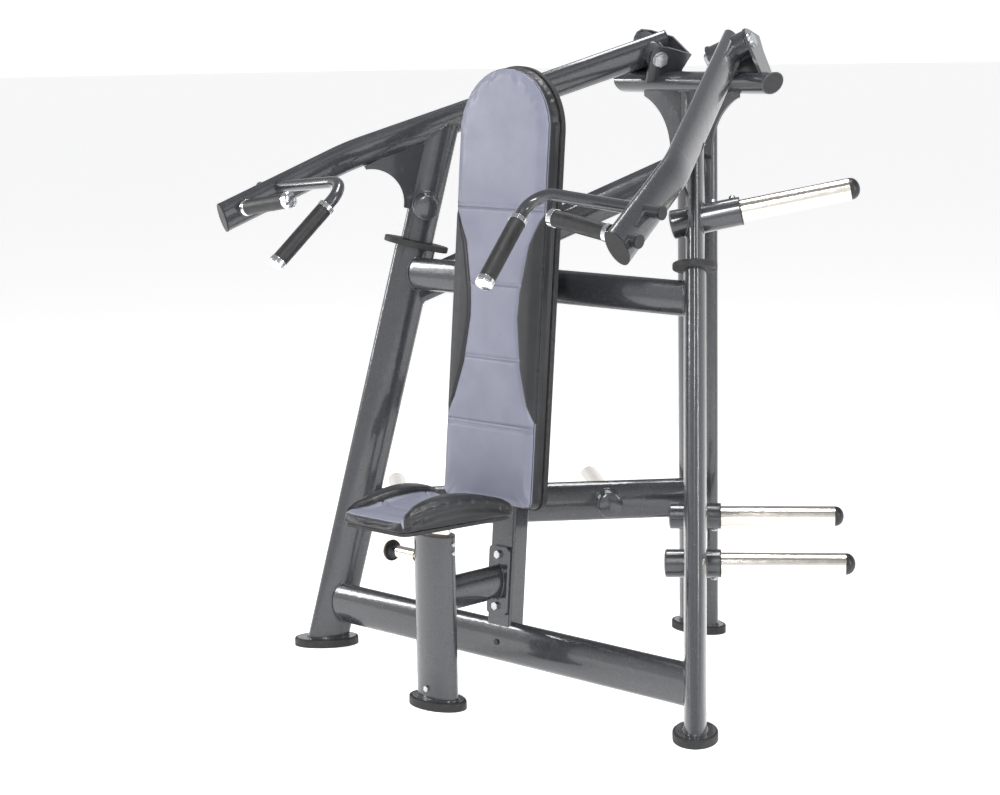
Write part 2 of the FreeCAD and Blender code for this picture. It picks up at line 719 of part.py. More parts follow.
def knob_button():
    """Coloured button that fills the knob's outer face."""
    start = PIN_HOUSING_LENGTH + 27.0
    disc = rod(pin_x(start), pin_x(start + 5.0), KNOB_RADIUS - 1.0)
    outer = [e for e in disc.Edges if abs(e.CenterOfMass.x - pin_x(start + 5.0).x) < 0.01]
    return disc.makeFillet(3.0, outer)


def seat_tube():
    wide = Vector(1, 0, 0)
    low = seat_point(SEAT_POST_TOP - 262)
    high = seat_point(SEAT_BOTTOM_Z - SEAT_BOARD - SEAT_PLATE)
    inner = (SEAT_TUBE[0] - 5.0, SEAT_TUBE[1] - 5.0)
    body = bar(low, high, SEAT_TUBE, wide).cut(bar(low, high, inner, wide))
    for step in range(6):
        z = PIN_Z - 30.0 * step
        body = body.cut(rod(at(-80, SEAT_Y, z), at(0, SEAT_Y, z), PIN_RADIUS + 1.5))
    return largest(body)


def seat_plate():
    """Steel plate under the seat board, with a folded lip on each side."""
    z = SEAT_BOTTOM_Z - SEAT_BOARD - SEAT_PLATE
    low = at(-70, SEAT_Y - 90, z)
    plate = block(low, at(70, SEAT_Y + 80, z + SEAT_PLATE))
    return plate.makeFillet(12.0, [e for e in plate.Edges if e.BoundBox.ZLength > 3])


# ---- cushions ------------------------------------------------------------------------------
def pad_face(width, low, high, depth):
    """Back pad outline on its leaning plane: square foot, half-round head."""
    r = width / 2.0
    corner = 26.0
    lean = math.cos(math.radians(BACK_LEAN))
    bottom = low / lean
    top = high / lean
    points = [Vector(-r, bottom + corner, 0), Vector(-r, top - r, 0), Vector(0, top, 0),
              Vector(r, top - r, 0), Vector(r, bottom + corner, 0)]
    k = corner * (1 - math.sqrt(0.5))
    edges = [Part.LineSegment(points[0], points[1]).toShape(),
             Part.Arc(points[1], points[2], points[3]).toShape(),
             Part.LineSegment(points[3], points[4]).toShape(),
             Part.Arc(points[4], Vector(r - k, bottom + k, 0), Vector(r - corner, bottom, 0)).toShape(),
             Part.LineSegment(Vector(r - corner, bottom, 0), Vector(corner - r, bottom, 0)).toShape(),
             Part.Arc(Vector(corner - r, bottom, 0), Vector(k - r, bottom + k, 0), points[0]).toShape()]
    return Part.Face(Part.Wire(edges)).extrude(Vector(0, 0, depth))


def pad_back_origin():
    """Point of the pad's back plane on the floor line, straight behind the pad."""
    front = CENTRE_POST[1] / 2.0 + PAD_STRAP[2]
    return centre_axis(0.0) + lean_normal() * front


def on_back(shape, depth):
    origin = pad_back_origin() + lean_normal() * depth
    z = lean_normal()
    y = lean_back()
    x = y.cross(z)
    matrix = FreeCAD.Matrix(x.x, y.x, z.x, origin.x,
                            x.y, y.y, z.y, origin.y,
                            x.z, y.z, z.z, origin.z,
                            0, 0, 0, 1)
    return moved(shape, matrix)


def back_board():
    return on_back(pad_face(PAD_WIDTH - 2 * BOARD_INSET, PAD_BOTTOM_Z + BOARD_INSET,
                            PAD_TOP_Z - BOARD_INSET, BOARD_THICK), 0)


def back_pad():
    pad = pad_face(PAD_WIDTH, PAD_BOTTOM_Z, PAD_TOP_Z, PAD_THICK)
    front = [e for e in pad.Edges if e.BoundBox.ZLength < 0.01 and e.CenterOfMass.z > 1]
    return on_back(pad.makeFillet(12.0, front), BOARD_THICK)


def pad_bolt_seat(x, z):
    """Seat of one pad bolt on the rear face of its strap, in the pad's own plane."""
    return Vector(x, z / math.cos(math.radians(BACK_LEAN)), -PAD_STRAP[2])


def pad_straps():
    """Two flat straps that carry the pad board on the centre post."""
    straps = []
    for z in PAD_STRAP_Z:
        centre = pad_bolt_seat(0, z)
        strap = Part.makeBox(PAD_STRAP[0], PAD_STRAP[1], PAD_STRAP[2],
                             centre - Vector(PAD_STRAP[0] / 2.0, PAD_STRAP[1] / 2.0, 0))
        strap = strap.makeFillet(8.0, [e for e in strap.Edges if e.BoundBox.ZLength > 3])
        for x in (-PAD_BOLT_X, PAD_BOLT_X):
            strap = strap.cut(Part.makeCylinder(4.0 + SCREW_GAP, 20.0, pad_bolt_seat(x, z) - Vector(0, 0, 8)))
        straps.append(on_back(strap, 0))
    return straps


def pad_bolts():
    bolts = []
    for z in PAD_STRAP_Z:
        for x in (-PAD_BOLT_X, PAD_BOLT_X):
            bolt = screw(pad_bolt_seat(x, z), Vector(0, 0, -1), 4.0, PAD_STRAP[2] - 0.5, 13, 5)
            bolts.append(on_back(bolt, 0))
    return bolts


def seat_outline(inset):
    """Seat plan: narrower at the front, with rounded corners."""
    front = at(0, SEAT_FRONT_Y + inset, 0).y
    back = at(0, SEAT_BACK_Y - inset, 0).y
    wf = SEAT_FRONT_WIDTH / 2.0 - inset
    wb = SEAT_BACK_WIDTH / 2.0 - inset
    points = [Vector(-wf, front, 0), Vector(wf, front, 0), Vector(wb, back, 0), Vector(-wb, back, 0)]
    return Part.Face(Part.makePolygon(points + [points[0]]))


def seat_slab(inset, low, high, corner):
    slab = seat_outline(inset).extrude(Vector(0, 0, high - low))
    slab.translate(Vector(0, 0, low))
    return slab.makeFillet(corner, [e for e in slab.Edges if e.BoundBox.ZLength > 5])


def seat_cushion():
    """Closed slab whose top is one arch from front to back, with a rounded rim."""
    centre = at(-300, SEAT_CREST[0], SEAT_CREST[1] - SEAT_ARCH_RADIUS)
    arch = Part.makeCylinder(SEAT_ARCH_RADIUS, 600, centre, Vector(1, 0, 0))
    cushion = largest(seat_slab(0, SEAT_BOTTOM_Z, SEAT_CREST[1] + 10, 28.0).common(arch))
    return cushion.makeFillet(10.0, [e for e in cushion.Edges if e.BoundBox.ZMin > SEAT_BOTTOM_Z + 5])


# ---- press arms --------------------------------------------------------------------------------
def arm_points(side):
    pivot = pivot_centre(side)
    bend = at(ARM_BEND[0], ARM_BEND[1], ARM_BEND[2], side)
    end = at(ARM_END[0], ARM_END[1], ARM_END[2], side)
    tail = pivot - unit(bend - pivot) * ARM_TAIL
    return tail, bend, end


def arm_wide(side):
    """Long side of the arm's oval section, square to the pivot axis."""
    tail, bend, _ = arm_points(side)
    wide = unit(bend - tail).cross(pivot_axis(side))
    return wide if wide.z > 0 else wide * -1.0


def arm_bar(side, size):
    return swept(arm_points(side), ARM_BEND_RADIUS, oval(size[0], size[1]), arm_wide(side))


def barrel_rod(side, radius, grow=0.0):
    axis = pivot_axis(side)
    half = BARREL_LENGTH / 2.0 + grow
    return rod(pivot_centre(side) - axis * half, pivot_centre(side) + axis * half, radius)


def arm_tube(side):
    inner = (MID_OVAL[0] - 2 * WALL, MID_OVAL[1] - 2 * WALL)
    arm = arm_bar(side, MID_OVAL).cut(arm_bar(side, inner))
    arm = arm.cut(barrel_rod(side, BARREL_RADIUS))
    for start, end in handle_axes(side):
        arm = arm.cut(rod(start, end, HANDLE_RADIUS))
    return largest(arm)


def handle_axes(side):
    """Start (outer stub end) and a point beyond the arm of each handle's run."""
    axes = []
    for start, end in (STRAIGHT_GRIP, BENT_HANDLE[:2]):
        a = at(start[0], start[1], start[2], side)
        b = at(end[0], end[1], end[2], side)
        direction = unit(b - a)
        axes.append((a - direction * STUB_REACH, a + direction * 60.0))
    return axes


def arm_caps(side):
    """Oval end plugs of the arm, the two stub plugs, the horn's rubber nose and ring."""
    tail, bend, end = arm_points(side)
    wide = arm_wide(side)
    caps = [bar(end, end + unit(end - bend) * 4.0, MID_OVAL, wide),
            bar(tail, tail + unit(tail - bend) * 4.0, MID_OVAL, wide)]
    for start, inside in handle_axes(side):
        outward = unit(start - inside)
        caps.append(rod(start, start + outward * 3.0, HANDLE_RADIUS + 1.0))
    return caps + horn_trim(ARM_SOCKET[1], ARM_HORN_TIP, lambda d: horn_point(side, d))


def pivot_barrel(side):
    return barrel_rod(side, BARREL_RADIUS).cut(barrel_rod(side, BUSH_RADIUS, 1.0))


def pivot_bushes(side):
    """Flush bearing bushes, one pressed into each end of the barrel."""
    axis = pivot_axis(side)
    centre = pivot_centre(side)
    bushes = []
    for end in (1.0, -1.0):
        outer = centre + axis * (end * BARREL_LENGTH / 2.0)
        inner = outer - axis * (end * BUSH_LENGTH)
        bushes.append(pipe(inner, outer, BUSH_RADIUS, BOLT_RADIUS + RUNNING_GAP))
    return bushes


def leg_bar(side, size, low_extra=0.0):
    foot = side_point(side, upright_reach(STOP_HEIGHT), STOP_HEIGHT)
    start = foot + upright_axis(side) * (STOP_PAD_THICK + 0.3 + low_extra)
    end = side_point(side, upright_reach(1310.0), 1310.0)
    return bar(start, end, size, upright_wide(side))


def leg_tube(side):
    inner = (MID_OVAL[0] - 2 * WALL, MID_OVAL[1] - 2 * WALL)
    leg = leg_bar(side, MID_OVAL).cut(leg_bar(side, inner, 5.0))
    leg = leg.cut(arm_bar(side, MID_OVAL))
    leg = leg.cut(rod(horn_point(side, ARM_SOCKET[0]), horn_point(side, ARM_SOCKET[1]), SOCKET_RADIUS))
    return min(leg.Solids, key=lambda s: s.CenterOfMass.z) if leg.Solids[1:] else leg.Solids[0]


def horn_axis(side):
    rise = math.radians(ARM_HORN_RISE)
    return side_outward(side) * math.cos(rise) + Vector(0, 0, math.sin(rise))


def horn_point(side, distance):
    return side_point(side, upright_reach(ARM_HORN_Z), ARM_HORN_Z) + horn_axis(side) * distance


def arm_gusset(side):
    """Concave plate that stiffens the corner in front of the leg, under the arm."""
    wide = upright_wide(side)
    down = upright_axis(side) * -1.0
    tail, bend, _ = arm_points(side)
    along = unit(bend - tail)
    top = side_point(side, upright_reach(1290.0), 1290.0)
    tip = top + along * 199.0 + down * 29.0
    tip_low = top + along * 192.0 + down * 39.0
    bulge = top + wide * 91.6 + down * 145.0
    low_out = top + wide * 52.0 + down * 209.0
    inner_low = top + down * 212.0
    plane_normal = unit(along.cross(down))
    flat = [top, tip, tip_low, bulge, low_out, inner_low]
    flat = [p - plane_normal * (p - top).dot(plane_normal) for p in flat]
    edges = [Part.LineSegment(flat[0], flat[1]).toShape(),
             Part.LineSegment(flat[1], flat[2]).toShape(),
             Part.Arc(flat[2], flat[3], flat[4]).toShape(),
             Part.LineSegment(flat[4], flat[5]).toShape(),
             Part.LineSegment(flat[5], flat[0]).toShape()]
    plate = Part.Face(Part.Wire(edges)).extrude(plane_normal * 6.0)
    plate.translate(plane_normal * -3.0)
    plate = plate.cut(arm_bar(side, MID_OVAL)).cut(leg_bar(side, MID_OVAL, -20.0))
    return largest(plate)


def horn_parts(inner_end, outer_end, tip, point):
    """Socket with a domed blind end, and the bright tube, turned down inside it."""
    floor = inner_end + SOCKET_DOME + 3.0
    blind = dome(point(inner_end + SOCKET_DOME), point(inner_end) - point(floor), SOCKET_RADIUS, SOCKET_DOME)
    socket = rod(point(inner_end + SOCKET_DOME), point(outer_end), SOCKET_RADIUS).fuse(blind)
    socket = socket.removeSplitter().cut(rod(point(floor), point(outer_end + 1.0), HORN_SEAT_RADIUS))
    shoulder = outer_end + MOUTH_RING
    horn = rod(point(floor), point(shoulder), HORN_SEAT_RADIUS - FIT_GAP)
    horn = horn.fuse(rod(point(shoulder), point(tip - HORN_CAP_LENGTH), HORN_RADIUS))
    bore = rod(point(floor - 1.0), point(tip), HORN_RADIUS - 3.0)
    return solids(socket), solids(horn.removeSplitter().cut(bore))


def horn_trim(outer_end, tip, point):
    """Rubber nose and mouth ring of a weight horn."""
    nose = dome(point(tip - HORN_CAP_LENGTH), point(tip) - point(0), HORN_RADIUS - 0.8, HORN_CAP_LENGTH)
    ring = pipe(point(outer_end), point(outer_end + MOUTH_RING), SOCKET_RADIUS - 0.5, HORN_SEAT_RADIUS)
    return [nose, ring]


def grip_set(start, direction, length):
    """Sleeve, two collars and a domed end for a grip; start is its near end."""
    p = [start,
         start + direction * COLLAR_LENGTH,
         start + direction * (length - COLLAR_LENGTH),
         start + direction * length]
    sleeve = pipe(p[1], p[2], GRIP_RADIUS, HANDLE_RADIUS)
    near = pipe(p[0], p[1], COLLAR_RADIUS, HANDLE_RADIUS)
    far = pipe(p[2], p[3], COLLAR_RADIUS, HANDLE_RADIUS)
    return sleeve, [near, far]


def straight_handle(side):
    start, _ = handle_axes(side)[0]
    tip = at(*STRAIGHT_GRIP[1], side)
    direction = unit(tip - start)
    end = tip - direction * 7.0
    grip_start = at(*STRAIGHT_GRIP[0], side) + direction * 36.0
    length = (end - grip_start).Length
    spigot = rod(start, end, HANDLE_RADIUS)
    sleeve, collars = grip_set(grip_start, direction, length)
    nose = dome(end, direction, COLLAR_RADIUS - 0.5, 7.0)
    return spigot, sleeve, collars + [nose]


def bent_handle(side):
    start, _ = handle_axes(side)[1]
    corner = at(*BENT_HANDLE[1], side)
    tip = at(*BENT_HANDLE[2], side)
    direction = unit(tip - corner)
    end = tip - direction * 7.0
    circle = Part.Wire(Part.makeCircle(HANDLE_RADIUS))
    body = swept((start, corner, end), BENT_RADIUS, circle, Vector(0, 0, 1))
    grip_start = end - direction * BENT_GRIP_LENGTH
    sleeve, collars = grip_set(grip_start, direction, BENT_GRIP_LENGTH)
    nose = dome(end, direction, COLLAR_RADIUS - 0.5, 7.0)
    return body, sleeve, collars + [nose]


# ---- write every sub-part ----------------------------------------------------------------------
def save(name, shape):
    shape = solids(shape) if shape.Solids else shape
    shape.exportStep("parts/%s.step" % name)
    print("%-22s solids %2d  volume %11.1f" % (name, len(shape.Solids), shape.Volume))


def write_frame():
    for name, side in SIDES:
        save(name + "_upright", upright(side))
    save("pivot_brackets", group([pivot_bracket(side) for _, side in SIDES]))
    save("upper_braces", group([upper_brace(side) for _, side in SIDES]))
    save("lower_braces", group([lower_brace(side) for _, side in SIDES]))
    save("rear_post", rear_post())
    save("top_cross_tube", top_cross_tube())
    save("top_tube_caps", group(top_tube_caps()))
    save("rear_gussets", group([rear_gusset(side) for _, side in SIDES]))
    save("pivot_bolts", group([p for _, side in SIDES for p in pivot_bolt(side)]))
    save("front_cross_tube", largest(cross_tube(FRONT_TUBE_Z, BIG_OVAL)))
    save("middle_cross_tube", largest(cross_tube(MIDDLE_TUBE_Z, MID_OVAL)))
    save("centre_post", group([centre_post()] + post_bridge()))
    save("plastic_plugs", group([tube_plug(), post_top_cap()]))
    save("stop_pads", group([stop_pad(side) for _, side in SIDES]))
    save("foot_plates", group(foot_plates()))
    save("foot_boots", group(foot_boots()))


def write_bench():
    save("seat_post", seat_post())
    save("seat_post_sleeve", seat_sleeve())
    save("seat_link", group([link_tube(), link_flange()]))
    save("frame_bolts", group(frame_bolts() + pad_bolts()))
    save("back_board", back_board())
    save("back_pad", back_pad())
    save("pad_straps", group(pad_straps()))
    save("seat_tube", seat_tube())
    save("seat_plate", seat_plate())
    save("seat_board", seat_slab(8.0, SEAT_BOTTOM_Z - SEAT_BOARD, SEAT_BOTTOM_Z, 24.0))
    save("seat_cushion", seat_cushion())
    save("pin_housing", pin_housing())
    save("pin_spring", pin_spring())
    save("pin_plunger", pin_plunger())
    save("pull_knob", pull_knob())
    save("knob_button", knob_button())


def write_storage():
    sockets, horns, trim = [], [], []
    for _, side in SIDES:
        for reach in STORAGE_REACH:
            def point(d, side=side, reach=reach):
                return side_point(side, reach, STORAGE_Z, d)
            socket, horn = horn_parts(STORAGE_SOCKET[0], STORAGE_SOCKET[1], STORAGE_HORN_TIP, point)
            sockets.append(socket)
            horns.append(horn)
            trim.extend(horn_trim(STORAGE_SOCKET[1], STORAGE_HORN_TIP, point))
    save("storage_sockets", group(sockets))
    save("storage_horns", group(horns))
    save("storage_horn_caps", group(trim))


def write_arm(name, side):
    save(name + "_arm_tube", arm_tube(side))
    save(name + "_arm_caps", group(arm_caps(side)))
    save(name + "_pivot_barrel", pivot_barrel(side))
    save(name + "_pivot_bushes", group(pivot_bushes(side)))
    save(name + "_arm_leg", leg_tube(side))
    save(name + "_arm_gusset", arm_gusset(side))
    socket, horn = horn_parts(ARM_SOCKET[0], ARM_SOCKET[1], ARM_HORN_TIP,
                              lambda d: horn_point(side, d))
    save(name + "_horn_socket", socket)
    save(name + "_weight_horn", horn)
    spigot, sleeve, trim = straight_handle(side)
    body, bent_sleeve, bent_trim = bent_handle(side)
    save(name + "_straight_handle", spigot)
    save(name + "_bent_handle", body)
    save(name + "_grip_sleeves", group([sleeve, bent_sleeve]))
    save(name + "_grip_trim", group(trim + bent_trim))


def main():
    os.makedirs("parts", exist_ok=True)
    write_frame()
    write_bench()
    write_storage()
    for name, side in SIDES:
        write_arm(name, side)


main()
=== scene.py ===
"""Looks of the plate-loaded shoulder press: camera, studio, finishes, cushions and small trim.

Everything is in metres in the frame of the CAD model: +Z up, the user faces -Y.
"""
import math

import bmesh
import bpy
from mathutils import Matrix, Vector
from mathutils.bvhtree import BVHTree


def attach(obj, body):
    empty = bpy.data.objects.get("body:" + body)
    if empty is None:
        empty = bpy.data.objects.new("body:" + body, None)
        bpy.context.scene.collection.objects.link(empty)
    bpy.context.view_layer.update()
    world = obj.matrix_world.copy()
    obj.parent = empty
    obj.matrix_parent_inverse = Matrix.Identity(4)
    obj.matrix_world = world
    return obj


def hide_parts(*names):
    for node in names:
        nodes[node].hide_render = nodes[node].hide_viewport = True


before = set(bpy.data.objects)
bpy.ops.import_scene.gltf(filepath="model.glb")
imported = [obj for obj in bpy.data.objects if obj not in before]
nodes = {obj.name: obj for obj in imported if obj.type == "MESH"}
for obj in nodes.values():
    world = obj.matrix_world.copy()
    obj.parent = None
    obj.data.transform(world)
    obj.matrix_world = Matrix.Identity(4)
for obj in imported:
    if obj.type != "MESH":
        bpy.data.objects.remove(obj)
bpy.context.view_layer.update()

# ---- camera ---------------------------------------------------------------------------
# degrees, except the place in metres and the lens and sensor in millimetres
CAMERA_PLACE = Vector((3.935, -4.1184, 1.578))
CAMERA_TURN = 45.0        # plan angle of the view, from +Y towards -X
CAMERA_DOWN = 9.08
CAMERA_ROLL = -0.919
CAMERA_LENS = 87.55
SENSOR = 36.0


def add_camera():
    turn, down, roll = (math.radians(a) for a in (CAMERA_TURN, CAMERA_DOWN, CAMERA_ROLL))
    ahead = Vector((-math.sin(turn) * math.cos(down),
                    math.cos(turn) * math.cos(down),
                    -math.sin(down)))
    right = Vector((math.cos(turn), math.sin(turn), 0))
    above = right.cross(ahead)
    tilted_right = right * math.cos(roll) + above * math.sin(roll)
    tilted_above = above * math.cos(roll) - right * math.sin(roll)
    camera = bpy.data.objects.new("camera", bpy.data.cameras.new("camera"))
    camera.data.lens = CAMERA_LENS
    camera.data.sensor_width = SENSOR
    turned = Matrix((tilted_right, tilted_above, -ahead)).transposed().to_4x4()
    camera.matrix_world = Matrix.Translation(CAMERA_PLACE) @ turned
    bpy.context.scene.collection.objects.link(camera)
    bpy.context.scene.camera = camera


# ---- node material helpers ----------------------------------------------------------------
class Finish:
    """A Principled material under construction, fed by object coordinates."""

    def __init__(self, name, colour, roughness, metallic=0.0):
        self.material = bpy.data.materials.new(name + "_finish")
        self.material.use_nodes = True
        self.tree = self.material.node_tree
        self.shader = self.tree.nodes["Principled BSDF"]
        self.shader.inputs["Base Color"].default_value = (*colour, 1.0)
        self.shader.inputs["Roughness"].default_value = roughness
        self.shader.inputs["Metallic"].default_value = metallic
        self.place = self.node("ShaderNodeTexCoord").outputs["Object"]

    def node(self, kind, **settings):
        made = self.tree.nodes.new(kind)
        for key, value in settings.items():
            setattr(made, key, value)
        return made

    def join(self, source, target):
        self.tree.links.new(source, target)

    def noise(self, scale, detail=3.0, stretch=(1, 1, 1)):
        mapping = self.node("ShaderNodeMapping")
        mapping.inputs["Scale"].default_value = stretch
        texture = self.node("ShaderNodeTexNoise")
        texture.inputs["Scale"].default_value = scale
        texture.inputs["Detail"].default_value = detail
        self.join(self.place, mapping.inputs["Vector"])
        self.join(mapping.outputs["Vector"], texture.inputs["Vector"])
        return texture.outputs["Fac"]

    def cells(self, scale, feature="F1"):
        texture = self.node("ShaderNodeTexVoronoi", feature=feature)
        texture.inputs["Scale"].default_value = scale
        self.join(self.place, texture.inputs["Vector"])
        return texture

    def ramp(self, source, stops):
        """Colour ramp from (position, colour) pairs; a number stands for a grey."""
        made = self.node("ShaderNodeValToRGB")
        elements = made.color_ramp.elements
        while len(elements) < len(stops):
            elements.new(0.5)
        for element, (position, colour) in zip(elements, stops):
            element.position = position
            grey = (colour, colour, colour) if isinstance(colour, (int, float)) else colour
            element.color = (*grey, 1.0)
        self.join(source, made.inputs["Fac"])
        return made.outputs["Color"]

    def mix(self, factor, first, second):
        made = self.node("ShaderNodeMix", data_type="RGBA")
        sockets = {s.identifier: s for s in made.inputs}
        for value, key in ((factor, "Factor_Float"), (first, "A_Color"), (second, "B_Color")):
            if isinstance(value, bpy.types.NodeSocket):
                self.join(value, sockets[key])
            else:
                sockets[key].default_value = value
        return {s.identifier: s for s in made.outputs}["Result_Color"]

    def math(self, operation, first, second=0.0, clamp=False):
        made = self.node("ShaderNodeMath", operation=operation, use_clamp=clamp)
        for value, socket in ((first, made.inputs[0]), (second, made.inputs[1])):
            if isinstance(value, bpy.types.NodeSocket):
                self.join(value, socket)
            else:
                socket.default_value = value
        return made.outputs[0]

    def bump(self, height, distance, strength=1.0, under=None):
        made = self.node("ShaderNodeBump")
        made.inputs["Strength"].default_value = strength
        made.inputs["Distance"].default_value = distance
        self.join(height, made.inputs["Height"])
        if under is not None:
            self.join(under, made.inputs["Normal"])
        return made.outputs["Normal"]

    def rounded(self, radius):
        made = self.node("ShaderNodeBevel", samples=4)
        made.inputs["Radius"].default_value = radius
        return made.outputs["Normal"]

    def set(self, socket, source):
        self.join(source, self.shader.inputs[socket])


def paint_finish():
    """Glossy charcoal metallic enamel: fine flake, faint orange peel, softly rounded edges."""
    paint = Finish("frame_paint", (0.035, 0.036, 0.04), 0.24, 0.25)
    flake = paint.cells(1400.0).outputs["Color"]
    cloud = paint.noise(9.0, 4.0)
    fleck = paint.ramp(flake, [(0.0, (0.022, 0.023, 0.026)), (0.7, (0.045, 0.047, 0.052)),
                               (1.0, (0.11, 0.115, 0.125))])
    paint.set("Base Color", paint.mix(paint.ramp(cloud, [(0.35, 0.0), (0.7, 0.35)]), fleck,
                                      (0.05, 0.052, 0.058, 1.0)))
    paint.set("Roughness", paint.ramp(paint.noise(35.0, 5.0), [(0.3, 0.2), (0.75, 0.3)]))
    paint.shader.inputs["Coat Weight"].default_value = 0.7
    paint.shader.inputs["Coat Roughness"].default_value = 0.06
    paint.set("Normal", paint.bump(paint.noise(260.0, 2.0), 0.0004, 0.12, paint.rounded(0.0014)))
    return paint.material


def simple_finish(name, dark, light, roughness, metallic, grain):
    """Speckled colour, uneven gloss and a fine surface grain."""
    made = Finish(name, light, roughness, metallic)
    made.set("Base Color", made.ramp(made.noise(grain * 0.25, 6.0), [(0.3, dark), (0.75, light)]))
    made.set("Roughness", made.ramp(made.noise(grain * 0.1, 5.0),
                                    [(0.3, roughness * 0.8), (0.75, roughness * 1.2)]))
    made.set("Normal", made.bump(made.noise(grain, 3.0), 0.0003, 0.3, made.rounded(0.0009)))
    return made.material


def cover_finish():
    """Stitched leatherette: grey where the cover's panel value is positive, black elsewhere."""
    cover = Finish("leatherette", (0.19, 0.2, 0.26), 0.46)
    panel = cover.node("ShaderNodeAttribute", attribute_name="panel").outputs["Fac"]
    share = cover.math("MULTIPLY", panel, 2500.0, clamp=True)
    cloud = cover.noise(14.0, 4.0)
    grey = cover.ramp(cloud, [(0.3, (0.165, 0.172, 0.225)), (0.75, (0.2, 0.208, 0.268))])
    black = cover.ramp(cloud, [(0.3, (0.009, 0.0095, 0.011)), (0.75, (0.017, 0.018, 0.021))])
    cover.set("Base Color", cover.mix(share, black, grey))
    cover.set("Roughness", cover.ramp(cover.noise(60.0, 5.0), [(0.3, 0.36), (0.75, 0.5)]))
    grain = cover.cells(950.0, "SMOOTH_F1").outputs["Distance"]
    creases = cover.bump(cover.noise(48.0, 4.0), 0.0012, 0.25)
    cover.set("Normal", cover.bump(grain, 0.0002, 0.35, creases))
    return cover.material


# name, darkest and lightest colour, roughness, metallic share and grain scale of the plain finishes
PLAIN_FINISHES = (
    ("black_plastic", (0.006, 0.006, 0.007), (0.016, 0.016, 0.018), 0.42, 0.0, 400.0),
    ("black_rubber", (0.008, 0.008, 0.009), (0.02, 0.02, 0.021), 0.62, 0.0, 400.0),
    ("zinc_steel", (0.45, 0.47, 0.5), (0.66, 0.68, 0.7), 0.3, 1.0, 400.0),
    ("bright_steel", (0.72, 0.68, 0.62), (0.8, 0.76, 0.7), 0.16, 1.0, 400.0),
    ("grip_rubber", (0.008, 0.008, 0.009), (0.02, 0.02, 0.021), 0.48, 0.0, 400.0),
    ("polished_aluminium", (0.75, 0.76, 0.78), (0.86, 0.87, 0.88), 0.14, 1.0, 400.0),
    ("bronze", (0.4, 0.24, 0.1), (0.6, 0.38, 0.18), 0.35, 1.0, 400.0),
    ("pad_board", (0.01, 0.01, 0.011), (0.03, 0.03, 0.032), 0.6, 0.0, 400.0),
    ("cover_trim", (0.01, 0.01, 0.012), (0.03, 0.031, 0.034), 0.32, 0.0, 400.0),
    ("thread", (0.05, 0.052, 0.06), (0.11, 0.115, 0.13), 0.6, 0.0, 3000.0),
    ("yellow_plastic", (0.7, 0.42, 0.02), (0.85, 0.55, 0.03), 0.35, 0.0, 400.0),
)
FINISHES = {row[0]: simple_finish(*row) for row in PLAIN_FINISHES}
FINISHES["frame_paint"] = paint_finish()
FINISHES["leatherette"] = cover_finish()


def dress_cad():
    """Give every carried-over CAD node the finish of its material slot."""
    for node in nodes.values():
        slot = node.data.materials[0].name
        node.data.materials.clear()
        node.data.materials.append(FINISHES[slot])


# ---- studio ---------------------------------------------------------------------------------
def add_area(name, place, target, size, power):
    light = bpy.data.lights.new(name, "AREA")
    light.shape = "RECTANGLE"
    light.size, light.size_y = size
    light.energy = power
    lamp = bpy.data.objects.new(name, light)
    lamp.location = place
    lamp.rotation_euler = (Vector(target) - Vector(place)).to_track_quat("-Z", "Y").to_euler()
    bpy.context.scene.collection.objects.link(lamp)


def add_studio():
    """White surround that darkens overhead, four area lights and a pale floor."""
    world = bpy.data.worlds.new("studio")
    bpy.context.scene.world = world
    world.use_nodes = True
    tree = world.node_tree
    place = tree.nodes.new("ShaderNodeTexCoord")
    split = tree.nodes.new("ShaderNodeSeparateXYZ")
    ramp = tree.nodes.new("ShaderNodeValToRGB")
    ramp.color_ramp.elements[0].position = 0.12
    ramp.color_ramp.elements[0].color = (1.0, 1.0, 1.0, 1.0)
    ramp.color_ramp.elements[1].position = 0.5
    ramp.color_ramp.elements[1].color = (0.3, 0.3, 0.31, 1.0)
    tree.links.new(place.outputs["Generated"], split.inputs[0])
    tree.links.new(split.outputs["Z"], ramp.inputs["Fac"])
    tree.links.new(ramp.outputs["Color"], tree.nodes["Background"].inputs["Color"])
    tree.nodes["Background"].inputs["Strength"].default_value = 1.05
    add_area("key", (2.6, -3.8, 3.4), (0, 0, 0.8), (0.7, 2.6), 150.0)
    add_area("fill", (-3.6, -2.6, 2.4), (0, 0, 0.8), (0.5, 2.6), 80.0)
    add_area("side", (4.2, 0.6, 2.0), (0, 0, 0.8), (0.4, 2.6), 60.0)
    add_area("top", (0.2, 0.4, 4.0), (0, 0, 0.9), (2.2, 0.8), 90.0)
    bpy.context.scene.view_settings.view_transform = "Standard"

    mesh = bpy.data.meshes.new("floor")
    shape = bmesh.new()
    bmesh.ops.create_circle(shape, cap_ends=True, segments=96, radius=60.0)
    shape.to_mesh(mesh)
    shape.free()
    floor = bpy.data.objects.new("floor", mesh)
    bpy.context.scene.collection.objects.link(floor)
    pale = Finish("pale_floor", (0.92, 0.92, 0.92), 0.8)
    pale.set("Roughness", pale.ramp(pale.noise(3.0, 3.0), [(0.3, 0.75), (0.7, 0.85)]))
    pale.shader.inputs["Emission Color"].default_value = (1.0, 1.0, 1.0, 1.0)
    pale.shader.inputs["Emission Strength"].default_value = 0.55
    mesh.materials.append(pale.material)


# ---- cushions ---------------------------------------------------------------------------------
VOXEL = 0.005             # cell size of the remeshed cushions
ALLOWANCE = 0.004         # how much smaller the cushions are cut before they are inflated
SWELL_LIMIT = 0.006       # furthest that inflation moves a point
LEAN = math.radians(5.2)
